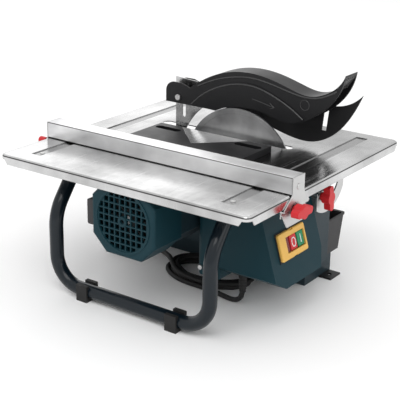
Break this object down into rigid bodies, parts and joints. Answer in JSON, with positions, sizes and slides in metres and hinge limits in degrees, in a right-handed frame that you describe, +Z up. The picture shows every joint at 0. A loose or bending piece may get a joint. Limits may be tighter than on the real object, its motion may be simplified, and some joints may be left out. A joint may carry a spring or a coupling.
{
  "type": "tile_cutter",
  "caption": "Bench tile cutter with a polished tilting steel table, direct-drive motor, splash guard, sliding fence with angle guide, water tank and tube stand",
  "frame": {"origin": "on the standing surface under the middle of the table", "axes": "+Y is away from the operator along the fence and the disc, +X to the operator's right across the table, +Z up"},
  "size_m": [0.387, 0.429, 0.303],
  "materials": {
    "polished_steel": "polished stainless sheet",
    "zinc_plate": "zinc plated",
    "disc_steel": "ground steel core",
    "rail_aluminium": "anodised, satin",
    "cast_alloy": "die cast",
    "teal_paint": "powder coat, satin",
    "navy_tube": "gloss powder coat",
    "teal_plastic": "fine moulded texture",
    "black_plastic": "satin moulded",
    "charcoal_plastic": "moulded",
    "red_plastic": "moulded",
    "dark_red_lens": "clear moulded",
    "green_plastic": "moulded",
    "yellow_plastic": "moulded",
    "black_rubber": "soft",
    "copper_winding": "enamelled copper",
    "core_steel": "laminated"
  },
  "bodies": {
    "base": {"chassis": "teal_paint", "tilt_pivots": "zinc_plate", "tilt_studs": "zinc_plate", "u_frame": "navy_tube", "frame_feet": "black_rubber", "right_foot": "teal_paint", "foot_brackets": "teal_paint", "fan_cover": "teal_plastic", "stator_shell": "teal_paint", "stator_core": "core_steel", "stator_windings": "copper_winding", "end_bell": "cast_alloy", "bearings": "zinc_plate", "motor_screws": "zinc_plate", "capacitor_box": "charcoal_plastic", "switch_housing": "teal_plastic", "switch_gasket": "black_rubber", "switch_frame": "yellow_plastic", "switch_body": "charcoal_plastic", "switch_lens": "dark_red_lens", "wiring_block": "teal_plastic", "housing_screws": "zinc_plate", "water_tank": "charcoal_plastic", "riving_knife": "polished_steel", "knife_bracket": "zinc_plate", "knife_screws": "zinc_plate", "guard_pivot": "zinc_plate", "strain_relief": "black_rubber", "power_cord": "black_rubber", "cord_coil": "black_rubber", "cord_tail": "black_rubber", "plug": "black_rubber"},
    "rotor": {"rotor_shaft": "zinc_plate", "rotor_core": "core_steel", "cooling_fan": "black_plastic", "inner_flange": "zinc_plate", "cutting_disc": "disc_steel", "outer_flange": "zinc_plate", "arbor_nut": "zinc_plate"},
    "table": {"table_top": "polished_steel", "groove_screws": "zinc_plate", "quadrant_front": "zinc_plate", "quadrant_rear": "zinc_plate", "quadrant_rivets": "zinc_plate"},
    "fence": {"fence_rail": "rail_aluminium", "fence_bracket_front": "zinc_plate", "fence_bracket_rear": "zinc_plate", "clamp_jaws": "zinc_plate", "clamp_studs": "zinc_plate", "clamp_washers": "black_rubber"},
    "guide": {"angle_guide": "black_plastic"},
    "fence_knob_f": {"fence_knob_front": "red_plastic"},
    "fence_knob_r": {"fence_knob_rear": "red_plastic"},
    "tilt_knob_f": {"tilt_knob_front": "red_plastic"},
    "tilt_knob_r": {"tilt_knob_rear": "red_plastic"},
    "stop_cap": {"stop_button": "red_plastic"},
    "start_cap": {"start_button": "green_plastic"},
    "guard": {"guard_cover": "black_plastic", "guard_skirt": "black_plastic", "guard_shield": "black_plastic"}
  },
  "joints": [
    {"name": "table_tilt", "type": "hinge", "parent": "base", "child": "table", "pos_m": [0.0425, 0, 0.168], "axis": [0, 1, 0], "range_deg": [0, 45]},
    {"name": "blade_spin", "type": "hinge", "parent": "base", "child": "rotor", "pos_m": [0.0705, -0.0095, 0.138], "axis": [1, 0, 0], "continuous": true},
    {"name": "fence_slide", "type": "slide", "parent": "table", "child": "fence", "axis": [1, 0, 0], "range_m": [-0.068, 0.015]},
    {"name": "guide_slide", "type": "slide", "parent": "fence", "child": "guide", "axis": [0, 1, 0], "range_m": [-0.1, 0.09]},
    {"name": "fence_knob_front_turn", "type": "hinge", "parent": "fence", "child": "fence_knob_f", "pos_m": [-0.0935, -0.2, 0.169], "axis": [0, 1, 0], "range_deg": [-180, 180]},
    {"name": "fence_knob_rear_turn", "type": "hinge", "parent": "fence", "child": "fence_knob_r", "pos_m": [-0.0935, 0.2, 0.169], "axis": [0, 1, 0], "range_deg": [-180, 180]},
    {"name": "tilt_knob_front_turn", "type": "hinge", "parent": "base", "child": "tilt_knob_f", "pos_m": [0.0245, -0.18, 0.14655], "axis": [0, 1, 0], "range_deg": [-180, 180]},
    {"name": "tilt_knob_rear_turn", "type": "hinge", "parent": "base", "child": "tilt_knob_r", "pos_m": [0.0245, 0.18, 0.14655], "axis": [0, 1, 0], "range_deg": [-180, 180]},
    {"name": "stop_press", "type": "slide", "parent": "base", "child": "stop_cap", "axis": [0, 0.9578, -0.2873], "range_m": [0, 0.0022], "stiffness_N_per_m": 400},
    {"name": "start_press", "type": "slide", "parent": "base", "child": "start_cap", "axis": [0, 0.9578, -0.2873], "range_m": [0, 0.0022], "stiffness_N_per_m": 400},
    {"name": "guard_lift", "type": "hinge", "parent": "base", "child": "guard", "pos_m": [0.0705, 0.0855, 0.233], "axis": [-1, 0, 0], "range_deg": [0, 35]}
  ]
}
